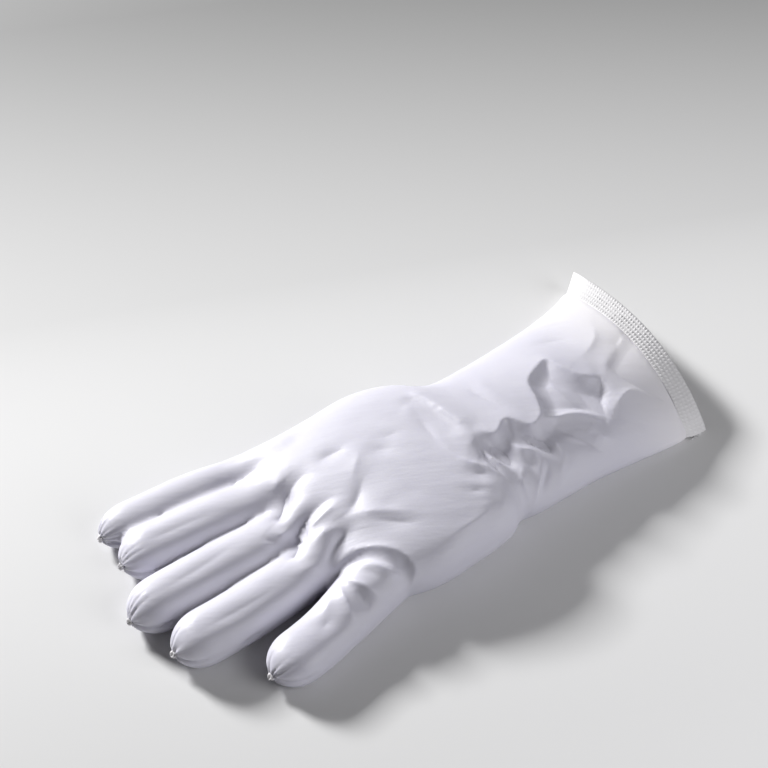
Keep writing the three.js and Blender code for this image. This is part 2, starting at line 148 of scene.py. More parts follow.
# Folds of the film, seen from above: path, rise, half-width on the left and on the right of the
# path, where along it the fold is highest, and how round its crest is (1 is sharp, 2 is round)
FOLDS = (
    # between the fingers
    ("ring_middle", ((76.7, 2.2), (80, 4), (84.4, 7.7), (88.3, 10.5), (93.6, 12.7), (98.6, 12.8),
                     (103.4, 11), (107.3, 9.3)), -5, 4.5, 5, 0.12, 1.2),
    ("ring_middle_lip", ((84.1, 14.8), (87, 16.8), (91, 17.9), (94.9, 18.1)),
     1.6, 2.4, 1.6, 0.5, 1.1),
    ("middle_index", ((71.2, -18.5), (76.6, -15), (81.5, -11.4), (85.2, -8.2), (89.8, -6.3),
                      (95.6, -5.6), (100.6, -6.3), (105, -7.8), (108.8, -10.1)),
     -5, 4.5, 4, 0.12, 1.2),
    ("middle_index_ridge", ((73.8, -19.4), (80.4, -16.4), (87.7, -11.7), (92.8, -11.3),
                            (98.5, -11), (103.6, -11.4), (108.9, -10.8)), 2.2, 1.6, 3, 0.5, 1.1),
    ("middle_dent", ((68.7, -2.9), (70.2, -6.2), (72.8, -8)), -0.8, 1.2, 1.2, 0.5, 1.2),
    ("middle_dent_ridge", ((65.2, -3.5), (68.5, -6.4), (72.5, -9)), 0.6, 1.2, 1.2, 0.5, 1.4),
    ("middle_hook", ((73, -4.4), (76.6, -6.1), (80.3, -5.4)), 0.8, 1.5, 1.5, 0.5, 1.4),
    ("knuckle_fall", ((98.6, -17.1), (102.7, -17.4), (108.2, -15.7), (113.2, -12), (118.1, -7.8),
                      (122.5, -5.9)), -2, 3, 5.5, 0.4, 1.2),
    ("knuckle_ridge", ((96.6, -16.9), (102.1, -19.9), (107.8, -22.6), (115, -27.6), (122.9, -34.7),
                       (130.8, -41.1)), 1.2, 4, 2.5, 0.4, 1.2),
    ("knuckle_crease", ((105.6, -25.7), (111.2, -30), (116.3, -34.9), (121.5, -39.6),
                        (128.8, -43.8)),
     -1.1, 2, 4, 0.5, 1.3),
    ("index_hook", ((82, -21.3), (87.6, -19.2), (92.1, -18.8), (97.6, -21.7)),
     1.4, 1.4, 2, 0.5, 1.1),
    ("index_dark", ((78, -35.4), (81.9, -32.2), (86.7, -29.1), (92.6, -26), (97.5, -25),
                    (103.8, -28.3)), -3.2, 4.5, 5.5, 0.6, 1.4),
    ("index_bump", ((68.8, -24.6), (71.8, -27.2), (75.5, -27.9), (79, -28.9), (81.9, -26.9)),
     0.8, 1.5, 2.5, 0.5, 1.4),
    ("little_dent", ((60, 40), (72, 38), (84, 30)), -1, 4, 4, 0.5, 1.6),
    # along the fingers
    ("index_groove", ((10, -29), (24, -29.4), (43.2, -29.4), (59.4, -28.4), (72, -26)),
     -0.8, 3, 3.4, 0.45, 1.6),
    ("middle_groove", ((8, -2), (21.9, -1.7), (41.1, -0.5), (57.6, 1.4), (68, 2)),
     -0.8, 3, 3.4, 0.45, 1.6),
    ("ring_groove", ((16, 25.2), (28.2, 25.6), (45.8, 24.3), (55.1, 23.1), (68, 21)),
     -0.8, 3, 3.4, 0.45, 1.6),
    # at the foot of the thumb
    ("thumb_collar", ((83.1, -38.8), (87.7, -39.1), (92.6, -41.3), (97.2, -45.2), (100.4, -49.7),
                      (102.9, -53.6), (105.4, -56.9), (105.5, -59), (104, -63)),
     2.2, 1.8, 3, 0.5, 1.2),
    ("collar_crease", ((90.7, -43.9), (94.3, -48), (97.1, -52.9)), -0.8, 1.2, 1.2, 0.5, 1.2),
    ("thumb_ridge", ((83.2, -41), (86.4, -47.2), (89.1, -52.3), (91, -57), (92, -60.8)),
     2.3, 3, 1.6, 0.5, 1.1),
    ("thumb_dent", ((85.2, -47), (85.4, -52), (85.2, -58), (84, -62)), -2, 2.6, 2.6, 0.6, 1.1),
    ("thumb_ridge_lower", ((82.3, -41.6), (79.7, -49.4), (78.1, -56.2), (76.5, -62.1),
                           (76.3, -64.5)),
     2, 1.6, 3.4, 0.45, 1.1),
    ("collar_facet", ((100.6, -56.9), (103, -58.9)), 0.9, 1.6, 1.6, 0.5, 1.2),
    ("thumb_fold", ((76, -45), (70, -50), (63, -52)), 0.8, 3, 3, 0.4, 1.4),
    ("thumb_fold_lower", ((72, -54), (66, -56), (60, -60)), -0.8, 2.4, 2.4, 0.4, 1.4),
    # over the back of the hand, down to its heel
    ("back_dent", ((106.3, 13.6), (112.2, 14.2), (118.8, 12.5), (125.2, 8.8)),
     -1.3, 3, 3, 0.4, 1.4),
    ("back_ridge", ((134, 8), (125, 4), (115, -5), (109, -12)), 0.8, 3, 5, 0.5, 1.3),
    ("crown_fall", ((165.1, 14.9), (167.3, 4.2), (169.2, -6.7), (170.6, -16.2)),
     -0.8, 2, 4, 0.5, 1.3),
    ("upright_ridge", ((161.2, 17.5), (157.4, 11.3), (154.3, 5.1)), 0.6, 3, 3, 0.5, 1.3),
    ("upright_crease", ((160, 9), (157.8, 0.2), (156.8, -9.9), (155.2, -19.6)),
     -0.8, 3, 2.4, 0.4, 1.3),
    ("slanting_ridge", ((161.6, 2.3), (159.5, -8.1), (157.9, -19.8), (160, -28.2), (164, -34),
                        (168.3, -37.4)), 0.9, 1.6, 3.2, 0.85, 1.2),
    ("soft_dent", ((134, 7), (142.3, 4.2), (151, 2.4)), -0.5, 2.4, 2.4, 0.5, 1.4),
    ("soft_dent_lower", ((127, 3.5), (132, 1.4), (137, -2.7), (139, -6)), -0.9, 3.4, 3.4, 0.5, 1.4),
    ("palm_wave", ((114.5, -24.2), (119.5, -26.7), (125, -30.4)), -0.5, 2.4, 2.4, 0.5, 1.4),
    ("palm_wave_upper", ((124.3, -19.9), (131.4, -27.3), (140.1, -32.2)), -0.4, 3, 3, 0.5, 1.4),
    ("heel_ridge", ((156.6, -23.3), (159.8, -28.4), (163.2, -33.2), (168, -37.3)),
     1.1, 1.4, 2.6, 0.9, 1.2),
    ("heel_groove", ((154.7, -29.5), (158.7, -35.4), (165.4, -39.6)), -0.8, 1.8, 1.8, 0.8, 1.4),
    ("heel_ridge_lower", ((146.1, -31.7), (153, -37.3), (159.1, -42.3), (164.1, -45.9)),
     0.9, 1.4, 2.4, 0.88, 1.2),
    ("heel_groove_lower", ((144.1, -36.2), (152.2, -42.1), (161.1, -47.1)),
     -0.6, 1.6, 1.6, 0.7, 1.4),
    ("heel_line", ((150.7, -44.1), (155.7, -46.7), (160.1, -48.7)), 0.4, 1, 1.6, 0.7, 1.2),
    ("heel_line_lower", ((151.2, -48.9), (155.1, -51.2), (158.2, -51.7)), 0.3, 1, 1.6, 0.7, 1.2),
    ("heel_edge", ((161, -49.4), (154.7, -53.6), (148.5, -54.4), (139.9, -54.7), (130, -55.1),
                   (119.1, -55.3)), 1, 3, 4, 0.35, 1.4),
    ("heel_side", ((165.3, -47.8), (164, -51.3), (162.2, -55), (160, -59.5)),
     0.7, 1.6, 2, 0.5, 1.3),
    # round the wrist
    ("pleat_crease", ((172, -18.2), (172, -24.4), (171.4, -32.6), (172.3, -39), (173.4, -44.5),
                      (175.9, -49)), -1.8, 1.6, 1.6, 0.55, 1.2),
    ("pleat", ((173.8, -19.7), (172.9, -27), (173.4, -33.3), (175.5, -38), (177.4, -41.9),
               (177.9, -46.3)), 1.7, 1.4, 1.1, 0.5, 1.1),
    ("wrist_hollow", ((176.2, -21.5), (177.8, -27.1), (178.9, -32.5), (179.9, -37.4),
                      (179.9, -43.1)),
     -4, 2.4, 2.2, 0.6, 1.3),
    ("hanging_ridge", ((187.3, -23.7), (186.7, -30.1), (188.7, -35), (192.5, -37.7), (195.3, -41)),
     2, 2, 2.6, 0.6, 1.2),
    ("hanging_branch", ((184.6, -40.3), (182, -43.9), (179.4, -47.1), (179, -50.9), (178.4, -56.9)),
     1.8, 1.6, 1.4, 0.45, 1.1),
    ("hanging_edge", ((195.3, -41), (193.3, -44), (190.6, -47.2), (186.6, -50.6), (182.4, -53.8),
                      (176.8, -58)), 2.2, 1.2, 2.2, 0.4, 1.1),
    ("branch_dent", ((187, -37.2), (188.2, -41.9), (189.1, -46.6)), -1, 1.8, 1.6, 0.6, 1.3),
    ("hanging_hollow", ((191.7, -23.7), (193.5, -28.9), (196.5, -33.9), (199.3, -37.9),
                        (201.3, -42.4), (202.9, -46.8)), -3.8, 2, 1.8, 0.6, 1.3),
    ("outer_ridge", ((203.1, -30.7), (205, -35.8), (205.6, -41.4), (204.9, -46.2), (201.9, -49.6),
                     (196.9, -53.2), (191.2, -57.3)), 1.5, 2.4, 2, 0.4, 1.3),
    ("outer_hollow", ((197.5, -42.7), (194.6, -47.2), (191.1, -50.6), (188.3, -52.4),
                      (182.4, -56.2)),
     -2.2, 1.8, 1.8, 0.5, 1.3),
    ("outer_line", ((211.9, -45.8), (208.3, -49.1), (201.2, -52), (197, -53.8), (191.5, -56.2)),
     0.6, 1.6, 1.2, 0.5, 1.2),
    # over the cuff
    ("plate_wave", ((194.2, 13), (191, 5.1), (193, -4.8), (196.7, -15), (200.4, -25.1)),
     -1.3, 2, 4.5, 0.4, 1.1),
    ("plate_wave_ridge", ((200, 14), (196.5, 4), (197.5, -6), (201, -16)), 0.5, 2.5, 2, 0.4, 1.4),
    ("dent_middle", ((233, -12), (234.1, -22.3), (233.9, -31.6), (235.2, -39.2)),
     -0.5, 2, 3, 0.6, 1.3),
    ("dent_floor", ((214, -24.5), (219, -26.5), (224.2, -28.8), (231, -33.2), (237, -39)),
     -1.8, 7, 2, 0.55, 1.3),
    ("dent_side", ((249.5, -21), (243, -30.2), (238.7, -36.8), (235.2, -42.4)),
     -2.4, 1.8, 5, 0.4, 1.1),
    ("facet_edge", ((236, -42), (244.9, -36.5), (256.1, -32.9), (263.3, -35.3), (267.7, -39.9)),
     1.3, 2.4, 6, 0.5, 1.1),
    ("long_crease", ((258.6, -14.3), (258.3, -23.9), (263.4, -33.3), (272.5, -42.3),
                     (281.1, -48.8)),
     -1.2, 4, 2.2, 0.4, 1.1),
    ("mouth_wave", ((276.2, 14.4), (264.2, 1.2), (254, -4.6), (242.5, -8.6)), 1.2, 3, 7, 0.5, 1.1),
    ("mouth_hollow", ((285.7, 12), (282, 0), (272, -7), (262, -14)), -1, 3.5, 3.5, 0.6, 1.4),
    ("far_wave", ((234.7, 17), (250.1, 11.2), (255.7, -1)), -1.1, 4, 5, 0.5, 1.2),
    ("lower_crease", ((209.6, -30.8), (214.3, -38.2), (219.9, -44.8), (228.1, -52.8),
                      (230.2, -54.9)),
     -1.9, 4, 2, 0.4, 1.1),
    ("lower_ridge", ((222, -38), (229, -46), (240, -52)), 1.3, 5, 3, 0.4, 1.2),
)

# Edges where the film steps down from one facet to the next: path, rise on its left, fall on its
# right, width of each, width of the step between them, and the share of the path that each end
# takes
EDGES = (
    ("thumb_lip", ((78.5, -35.3), (85.1, -33.5), (91.5, -32.7), (96.4, -34.3), (101.3, -37.9),
                   (105.8, -42.2), (110.1, -48), (112.2, -52.6), (112, -55.8), (109.8, -57.9),
                   (107.6, -58.4), (104, -64)), 1.2, 1.9, 4, 3, 6, 0.3),
    ("crown_edge", ((163.9, 25.3), (166.9, 19.3), (169.4, 10.8), (170.8, -2.7), (173.6, -16.1)),
     0.9, 0.9, 7, 6, 5, 0.2),
    ("plate_edge", ((173.3, -15.9), (176.8, -19.5), (181.1, -22.9), (184, -22.3),
                    (189, -19.1), (192, -19.1), (194.6, -21.9), (196.6, -25.1), (199.3, -27.9),
                    (202.7, -28), (206, -26.2), (207.8, -24.5), (211, -17.8), (215, -6.5),
                    (225.7, -0.3), (232.8, 1.5), (235.5, -7.3), (239.7, -15.4), (245.6, -19.7),
                    (250.3, -20.8), (252, -21)), 0.9, 2.9, 6, 11, 9, 0.08),
    ("dent_lip", ((203.5, -27), (206.4, -27.2), (213.9, -29.2), (222.7, -31.7), (228.9, -35.6),
                  (232.2, -39.2), (235.2, -42.4)), 1.5, 1, 2.4, 6, 8, 0.25),
    ("mouth_facet", ((249, -22.6), (257.3, -15.4), (269, -9.2), (277.8, -4.7), (282, 2), (283, 9)),
     0.5, 0.6, 4, 6, 6, 0.3),
)

# Points round the hand and a digit, sections along the hand and where it steps in, how far the
# skin runs on before it is cut, size of the faces of the skin and of the lining, rounds of
# smoothing, and the rise from which a fold gets finer faces
AROUND_HAND = 72
AROUND_DIGIT = 40
HAND_SECTIONS = 62
TUCK_SECTIONS = 5
PAST_MOUTH = 8
SKIN_SIZE = 1.3
LINING_SIZE = 2.6
SMOOTHING = 12
FINE_FROM = 0.35
# How sharp folds and edges are, how many of its widths each one reaches, and how many times their
# rise is averaged with that of the points beside
PINCH = 0.85
EDGE_SHARP = 1.2
REACH = 5
EVENING = 2
# A fold's path on the skin: its step, a height above everything, the height where it leaves the
# skin, and the least height
PATH_STEP = 0.9
ABOVE_ALL = 80
OFF_SKIN = 12
LEAST_HEIGHT = 6
# The least and the greatest upward lean of the skin between which the folds fade out
FOLDS_FADE = (-0.25, 0.25)


def smoothstep(value, low=0.0, high=1.0):
    """0 below low, 1 above high, and a soft step between them."""
    t = np.clip((value - low) / (high - low), 0, 1)
    return t * t * (3 - 2 * t)


def hand_row(x):
    """Every column of the hand's table at x, on a smooth curve through its rows."""
    places = HAND[:, 0]
    last = len(places) - 1
    k = int(np.clip(np.searchsorted(places, x, side="right") - 1, 0, last - 1))

    def slope(row):
        before, after = max(row - 1, 0), min(row + 1, last)
        return (HAND[after] - HAND[before]) / (places[after] - places[before])

    span = places[k + 1] - places[k]
    t = (x - places[k]) / span
    return ((2 * t**3 - 3 * t**2 + 1) * HAND[k] + (t**3 - 2 * t**2 + t) * span * slope(k)
            + (3 * t**2 - 2 * t**3) * HAND[k + 1] + (t**3 - t**2) * span * slope(k + 1))


def hand_ring(x, inset, angles):
    """Points round the hand at x, from the little-finger edge over the crown."""
    _, near, far, crown, near_rise, far_rise, lens = hand_row(x)
    near = near + inset * SIDE_SHARE
    far = far - inset * SIDE_SHARE
    cosine, sine = np.cos(angles), np.sin(angles)
    y = (near + far) / 2 + (far - near) / 2 * cosine
    edge = np.maximum(near_rise + (far_rise - near_rise) * (1 + cosine) / 2, inset + LEAST_EDGE)
    above = edge + (crown - inset - edge) * np.abs(sine) ** (2 * lens)
    down = np.sin(np.minimum(1, np.abs(sine) / UNDERSIDE) * math.pi / 2)
    z = np.where(sine >= 0, above, edge - (edge - inset) * down)
    skew = MOUTH_SKEW * smoothstep(x, SKEW_START, GLOVE_LENGTH)
    return np.column_stack((x + skew * y, y, z))


def even_hand_ring(x, inset, count):
    """The same section with its points evenly spaced."""
    dense = hand_ring(x, inset, np.linspace(0, 2 * math.pi, 1441))
    steps = np.linalg.norm(np.diff(dense, axis=0), axis=1)
    run = np.concatenate(((0,), np.cumsum(steps)))
    wanted = np.linspace(0, run[-1], count, endpoint=False)
    return np.column_stack([np.interp(wanted, run, dense[:, axis]) for axis in range(3)])


def smooth_path(corners, count=200):
    """Points on a smooth curve through the corners, and the distance run at each."""
    corners = np.array(corners, float)
    ends = (2 * corners[0] - corners[1], 2 * corners[-1] - corners[-2])
    knots = np.vstack((ends[0], corners, ends[1]))
    spans = np.sqrt(np.linalg.norm(np.diff(knots, axis=0), axis=1))
    points = []
    for i in range(len(corners) - 1):
        p0, p1, p2, p3 = knots[i:i + 4]
        d0, d1, d2 = spans[i:i + 3]
        m1 = ((p1 - p0) / d0 - (p2 - p0) / (d0 + d1) + (p2 - p1) / d1) * d1
        m2 = ((p2 - p1) / d1 - (p3 - p1) / (d1 + d2) + (p3 - p2) / d2) * d1
        for t in np.linspace(0, 1, count // (len(corners) - 1), endpoint=False):
            points.append((2 * t**3 - 3 * t**2 + 1) * p1 + (t**3 - 2 * t**2 + t) * m1
                          + (3 * t**2 - 2 * t**3) * p2 + (t**3 - t**2) * m2)
    points.append(corners[-1])
    points = np.array(points)
    run = np.concatenate(((0,), np.cumsum(np.linalg.norm(np.diff(points, axis=0), axis=1))))
    return points, run


def along_path(points, run, s):
    """Place and direction at a distance s along a path."""
    place = np.array([np.interp(s, run, points[:, axis]) for axis in range(2)])
    before = np.array([np.interp(s - 0.5, run, points[:, axis]) for axis in range(2)])
    after = np.array([np.interp(s + 0.5, run, points[:, axis]) for axis in range(2)])
    direction = after - before
    return place, direction / np.linalg.norm(direction)


def digit_rings(name, inset):
    """Rings of points round a digit, from the neck at its tip to its root inside the palm."""
    corners, half_widths, thicknesses = DIGITS[name]
    points, run = smooth_path(corners)
    length = run[-1]
    sections = int((length - TIP_LENGTH) / SHAFT_STEP)
    stations = NEAR_TIP + tuple(np.linspace(TIP_LENGTH, length, sections))
    angles = np.linspace(0, 2 * math.pi, AROUND_DIGIT, endpoint=False)
    sine = np.sin(angles)
    up = np.where(sine >= 0, sine, -np.sin(np.minimum(1, np.abs(sine) / DIGIT_FLAT) * math.pi / 2))
    rings = []
    for s in stations:
        place, along = along_path(points, run, s)
        side = np.array((along[1], -along[0]))
        share = smoothstep(s, SWELL_FROM[name == "thumb"] * length, length)
        half_width = half_widths[0] + (half_widths[1] - half_widths[0]) * share
        half_thick = (thicknesses[0] + (thicknesses[1] - thicknesses[0]) * share) / 2
        swell = (1 - (1 - min(1, s / TIP_LENGTH)) ** 2) ** TIP_POINT
        centre = TIP_RISE * thicknesses[0] * (1 - swell) + half_thick * swell
        wide = max(NECK, half_width * swell - inset)
        thick = max(NECK, half_thick * swell - inset)
        flat = place - np.outer(wide * np.cos(angles), side)
        z = np.maximum(inset, centre + thick * up)
        rings.append(np.column_stack((flat, z)))
    return rings


def sleeve(bm, rings):
    """A closed tube through the rings, each one extruded from the one before."""
    made = bmesh.ops.create_circle(bm, cap_ends=True, segments=len(rings[0]), radius=1)
    ring = list(made["verts"])
    for vert, point in zip(ring, rings[0]):
        vert.co = point
    edges = [e for e in bm.edges if e.verts[0] in made["verts"] and e.verts[1] in made["verts"]]
    for points in rings[1:]:
        out = bmesh.ops.extrude_edge_only(bm, edges=edges)["geom"]
        fresh = {v for v in out if isinstance(v, bmesh.types.BMVert)}
        edges = [e for e in out if isinstance(e, bmesh.types.BMEdge) and set(e.verts) <= fresh]
        ring = [next(e.other_vert(v) for e in v.link_edges if e.other_vert(v) in fresh)
                for v in ring]
        for vert, point in zip(ring, points):
            vert.co = point
    bmesh.ops.contextual_create(bm, geom=edges)


def one_skin(bm, size):
    """One closed skin over all that a mesh holds, in even faces of a size."""
    bmesh.ops.recalc_face_normals(bm, faces=bm.faces)
    mesh = bpy.data.meshes.new("skin")
    bm.to_mesh(mesh)
    bm.free()
    carrier = bpy.data.objects.new("skin", mesh)
    bpy.context.scene.collection.objects.link(carrier)
    remesh = carrier.modifiers.new("skin", "REMESH")
    remesh.mode = "VOXEL"
    remesh.voxel_size = size
    ready = carrier.evaluated_get(bpy.context.evaluated_depsgraph_get())
    skin = bmesh.new()
    skin.from_mesh(ready.to_mesh())
    bpy.data.objects.remove(carrier)
    bpy.data.meshes.remove(mesh)
    return skin


def glove_skin(inset, size, rounds):
    """The closed skin of hand and digits, moved in by an inset, its webs rounded."""
    bm = bmesh.new()
    angles = np.linspace(0, 2 * math.pi, AROUND_HAND, endpoint=False)
    stations = np.concatenate((np.linspace(HAND[0, 0], HEM_START - TUCK, HAND_SECTIONS),
                               np.linspace(HEM_EDGE, FILM_END, TUCK_SECTIONS)))
    tuck = (HEM_WALL + HEM_GAP) * smoothstep(stations, HEM_START - TUCK, HEM_START)
    rings = [hand_ring(x, inset + step, angles) for x, step in zip(stations, tuck)]
    rings.append(rings[-1] + (PAST_MOUTH, 0, 0))
    sleeve(bm, rings)
    for name in DIGITS:
        sleeve(bm, digit_rings(name, inset))
    skin = one_skin(bm, size)
    hand_side = [v for v in skin.verts if v.co.x < CUFF_START]
    for verts, times in ((skin.verts, rounds // 6), (hand_side, rounds - rounds // 6)):
        for _ in range(times):
            bmesh.ops.smooth_vert(skin, verts=verts, factor=0.5,
                                  use_axis_x=True, use_axis_y=True, use_axis_z=True)
    return skin


def places_and_normals(bm):
    """The places and the outward directions of all the points of a mesh."""
    bm.normal_update()
    places = np.array([v.co[:] for v in bm.verts])
    normals = np.array([v.normal[:] for v in bm.verts])
    return places, normals


def move_to(bm, places):
    """Moves the points of a mesh, in their order, to new places."""
    for vert, place in zip(bm.verts, places):
        vert.co = place


def on_skin(tree, path):
    """A fold's path laid on the skin in steps of about a millimetre, and its direction there."""
    points, run = smooth_path(path, 20 * (len(path) - 1))
    wanted = np.linspace(0, run[-1], int(run[-1] / PATH_STEP) + 2)
    laid = []
    for s in wanted:
        x, y = (np.interp(s, run, points[:, axis]) for axis in range(2))
        hit = tree.ray_cast(Vector((x, y, ABOVE_ALL)), Vector((0, 0, -1)))[0]
        laid.append((x, y, OFF_SKIN if hit is None else max(hit.z, LEAST_HEIGHT)))
    laid = np.array(laid)
    padded = np.pad(laid[:, 2], 2, "edge")
    laid[:, 2] = np.convolve(padded, np.ones(5) / 5, "valid")
    return laid, np.gradient(laid[:, :2], axis=0)


def beside(places, line, directions, reach):
    """The places near a line, how far each is from all of its points, which are on its left, and
    the point of the line nearest to each."""
    inside = ((places > line.min(0) - reach) & (places < line.max(0) + reach)).all(1)
    close = np.nonzero(inside)[0]
    apart = places[close][:, None, :] - line[None, :, :]
    distances = np.linalg.norm(apart, axis=2)
    nearest = distances.argmin(1)
    direction = directions[nearest]
    away = apart[np.arange(len(close)), nearest]
    on_left = direction[:, 0] * away[:, 1] - direction[:, 1] * away[:, 0] > 0
    return close, distances, on_left, nearest


def fold_rise(places, tree):
    """How far the folds and the edges raise the skin at each place."""
    total = np.zeros(len(places))
    for _, path, rise, left, right, deepest, sharp in FOLDS:
        line, directions = on_skin(tree, path)
        close, distances, on_left, _ = beside(places, line, directions, REACH * max(left, right))
        width = np.where(on_left, left, right)[:, None]
        along = np.linspace(0, 1, len(line))
        strength = smoothstep(np.where(along < deepest, along / deepest,
                                       (1 - along) / (1 - deepest)))
        felt = strength * np.exp(-(distances / width) ** (PINCH * sharp))
        total[close] += rise * felt.max(1)
    for _, path, rise, fall, left, right, step, ends in EDGES:
        line, directions = on_skin(tree, path)
        reach = step + REACH * max(left, right)
        close, distances, on_left, nearest = beside(places, line, directions, reach)
        distance = distances.min(1)
        along = nearest / (len(line) - 1)
        strength = smoothstep(np.minimum(along, 1 - along), 0, ends)
        above = rise * np.exp(-(distance / left) ** EDGE_SHARP)
        past = np.maximum(distance - step, 0)
        share = np.minimum(distance / step, 1)
        below = (rise - (rise + fall) * share * (2 - share)) * np.exp(-(past / right) ** EDGE_SHARP)
        total[close] += strength * np.where(on_left, above, below)
    return total


def evened(bm, values):
    """The values at the points of a mesh, each averaged with those of the points next to it."""
    ends = np.array([(e.verts[0].index, e.verts[1].index) for e in bm.edges])
    count = len(values)
    links = np.bincount(ends.ravel(), minlength=count)
    sums = (np.bincount(ends[:, 0], values[ends[:, 1]], count)
            + np.bincount(ends[:, 1], values[ends[:, 0]], count))
    return (values + sums / links) / 2


def folds_on(bm, tree):
    """The rise of the folds at every point of a skin, and its normals and places. The side on the
    table stays flat."""
    places, normals = places_and_normals(bm)
    bm.verts.index_update()
    upper = smoothstep(normals[:, 2], *FOLDS_FADE)
    rise = fold_rise(places, tree) * upper
    for _ in range(EVENING):
        rise = evened(bm, rise)
    return rise, normals, places


def digit_tip(name):
    """The sealed point of a digit, and the directions from it into the digit and across it."""
    corners, _, thicknesses = DIGITS[name]
    points, run = smooth_path(corners)
    _, along = along_path(points, run, 0.5)
    neck = Vector((*corners[0], TIP_RISE * thicknesses[0]))
    inward = Vector((*along, 0))
    return neck, inward, inward.cross(Vector((0, 0, 1)))


def gather_tips(bm):
    """Small pleats that run into the sealed point of every digit, and a crease low on its sides."""
    for number, name in enumerate(DIGITS):
        neck, inward, across = digit_tip(name)
        region = {f for f in bm.faces if (f.calc_center_median() - neck).length < GATHER_REACH}
        edges = list({e for f in region for e in f.edges})
        bmesh.ops.subdivide_edges(bm, edges=edges, cuts=1, use_grid_fill=True)
        bm.normal_update()
        moved = []
        for vert in bm.verts:
            apart = vert.co - neck
            distance = apart.length
            if distance > GATHER_REACH + GATHER_MARGIN:
                continue
            angle = math.atan2(apart.z, apart.dot(across))
            wobble = (angle + 0.16 * math.sin(2 * angle + number)
                      + 0.1 * math.sin(5 * angle + 2 * number))
            length = PLEAT_LENGTH + PLEAT_SWAY * math.sin(3 * angle + 1.7 * number)
            ripple = abs(math.sin(PLEATS * wobble / 2 + number)) ** PLEAT_SHARP - PLEAT_SINK
            fade = math.exp(-max(0, distance - 2) / length) * smoothstep(distance, 0.6, 2.6)
            rise = PLEAT_DEPTH * ripple * fade
            back = apart.dot(inward)
            level = neck.z + 0.5 + CREASE_SLOPE * back
            strength = smoothstep(back, -1, 3) * (1 - smoothstep(back, 8, 19))
            rise -= CREASE_DEPTH * math.exp(-((vert.co.z - level) / CREASE_WIDTH) ** 2) * strength
            moved.append((vert, vert.normal * float(rise)))
        for vert, step in moved:
            vert.co += step


def film():
    """The whole glove but its hem, as a thin film with an inside."""
    outer = glove_skin(0, SKIN_SIZE, SMOOTHING)
    tree = BVHTree.FromBMesh(outer)
    rise, _, _ = folds_on(outer, tree)
    creased = [v for v, height in zip(outer.verts, rise) if abs(height) > FINE_FROM]
    edges = list({e for v in creased for e in v.link_edges})
    bmesh.ops.subdivide_edges(outer, edges=edges, cuts=1, use_grid_fill=True)
    fine = list({v for e in edges if e.is_valid for v in e.verts})
    for _ in range(2):
        bmesh.ops.smooth_vert(outer, verts=fine, factor=0.5,
                              use_axis_x=True, use_axis_y=True, use_axis_z=True)
    rise, normals, places = folds_on(outer, tree)
    move_to(outer, places + normals * rise[:, None])
    gather_tips(outer)

    lining = glove_skin(FILM_WALL, LINING_SIZE, SMOOTHING // 4)
    skin = BVHTree.FromBMesh(outer)
    for vert in lining.verts:
        place, normal, _, _ = skin.find_nearest(vert.co)
        vert.co = place - normal * FILM_WALL
    bmesh.ops.reverse_faces(lining, faces=lining.faces)

    for part in (outer, lining):
        bmesh.ops.bisect_plane(part, geom=part.verts[:] + part.edges[:] + part.faces[:],
                               plane_co=(FILM_END - 1, 0, 0), plane_no=(1, -MOUTH_SKEW, 0),
                               clear_outer=True)
    mesh = bpy.data.meshes.new("lining")
    lining.to_mesh(mesh)
    lining.free()
    outer.from_mesh(mesh)
    bpy.data.meshes.remove(mesh)
    rim = [e for e in outer.edges if e.is_boundary]
    bmesh.ops.bridge_loops(outer, edges=rim)
    return outer


def piece(name, bm, materials, cad_node=None):
    """Turns a mesh into a finished piece in its place, nowhere below the table."""
    for vert in bm.verts:
        vert.co.z = max(vert.co.z, 0)
    bmesh.ops.transform(bm, matrix=TO_PLACE, verts=bm.verts)
    mesh = bpy.data.meshes.new(name)
    bm.to_mesh(mesh)
    bm.free()
    mesh.polygons.foreach_set("use_smooth", [True] * len(mesh.polygons))
    for material in materials:
        mesh.materials.append(material)
    made = bpy.data.objects.new(name, mesh)
    bpy.context.scene.collection.objects.link(made)
    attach(made, "root")
    if cad_node:
        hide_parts(cad_node)


# Materials: how the streaks run and how fine they are, how fine the grain is and its share of the
# height, and the deepest bump of the film, the hem and the knots in metres
STREAK_TURN = math.radians(-30)
STREAK_STRETCH = (1, 0.22, 0.4)
STREAK_SCALE = 26
GRAIN_SCALE = 900
GRAIN_SHARE = 0.08
FILM_BUMP = 0.00042
HEM_BUMP = 0.0006
KNOT_BUMP = 0.0004
# Where along the cuff the film is painted paler and warmer, as painted glow of the light that
# shines through it, in metres
PAINTED_GLOW_SPAN = (0.085, 0.14)


def plain_material(name, base, roughness):
    """A new material of one colour, its node tree and its shader."""
    material = bpy.data.materials.new(name)
    material.use_nodes = True
    shader = material.node_tree.nodes["Principled BSDF"]
    shader.inputs["Base Color"].default_value = (*base, 1)
    shader.inputs["Roughness"].default_value = roughness
    return material, material.node_tree, shader


def translucent(shader, weight, depths):
    """Lets light a little way into a film, to a depth in metres for each of its colours."""
    shader.inputs["Subsurface Weight"].default_value = weight
    shader.inputs["Subsurface Radius"].default_value = depths
    shader.inputs["Subsurface Scale"].default_value = 1


def node_group(name, inputs, outputs):
    """An empty shader node group with its sockets; each one is a name and a kind."""
    group = bpy.data.node_groups.new(name, "ShaderNodeTree")
    for label, kind in inputs:
        group.interface.new_socket(label, in_out="INPUT", socket_type=kind)
    for label, kind in outputs:
        group.interface.new_socket(label, in_out="OUTPUT", socket_type=kind)
    return group, group.nodes.new("NodeGroupInput"), group.nodes.new("NodeGroupOutput")


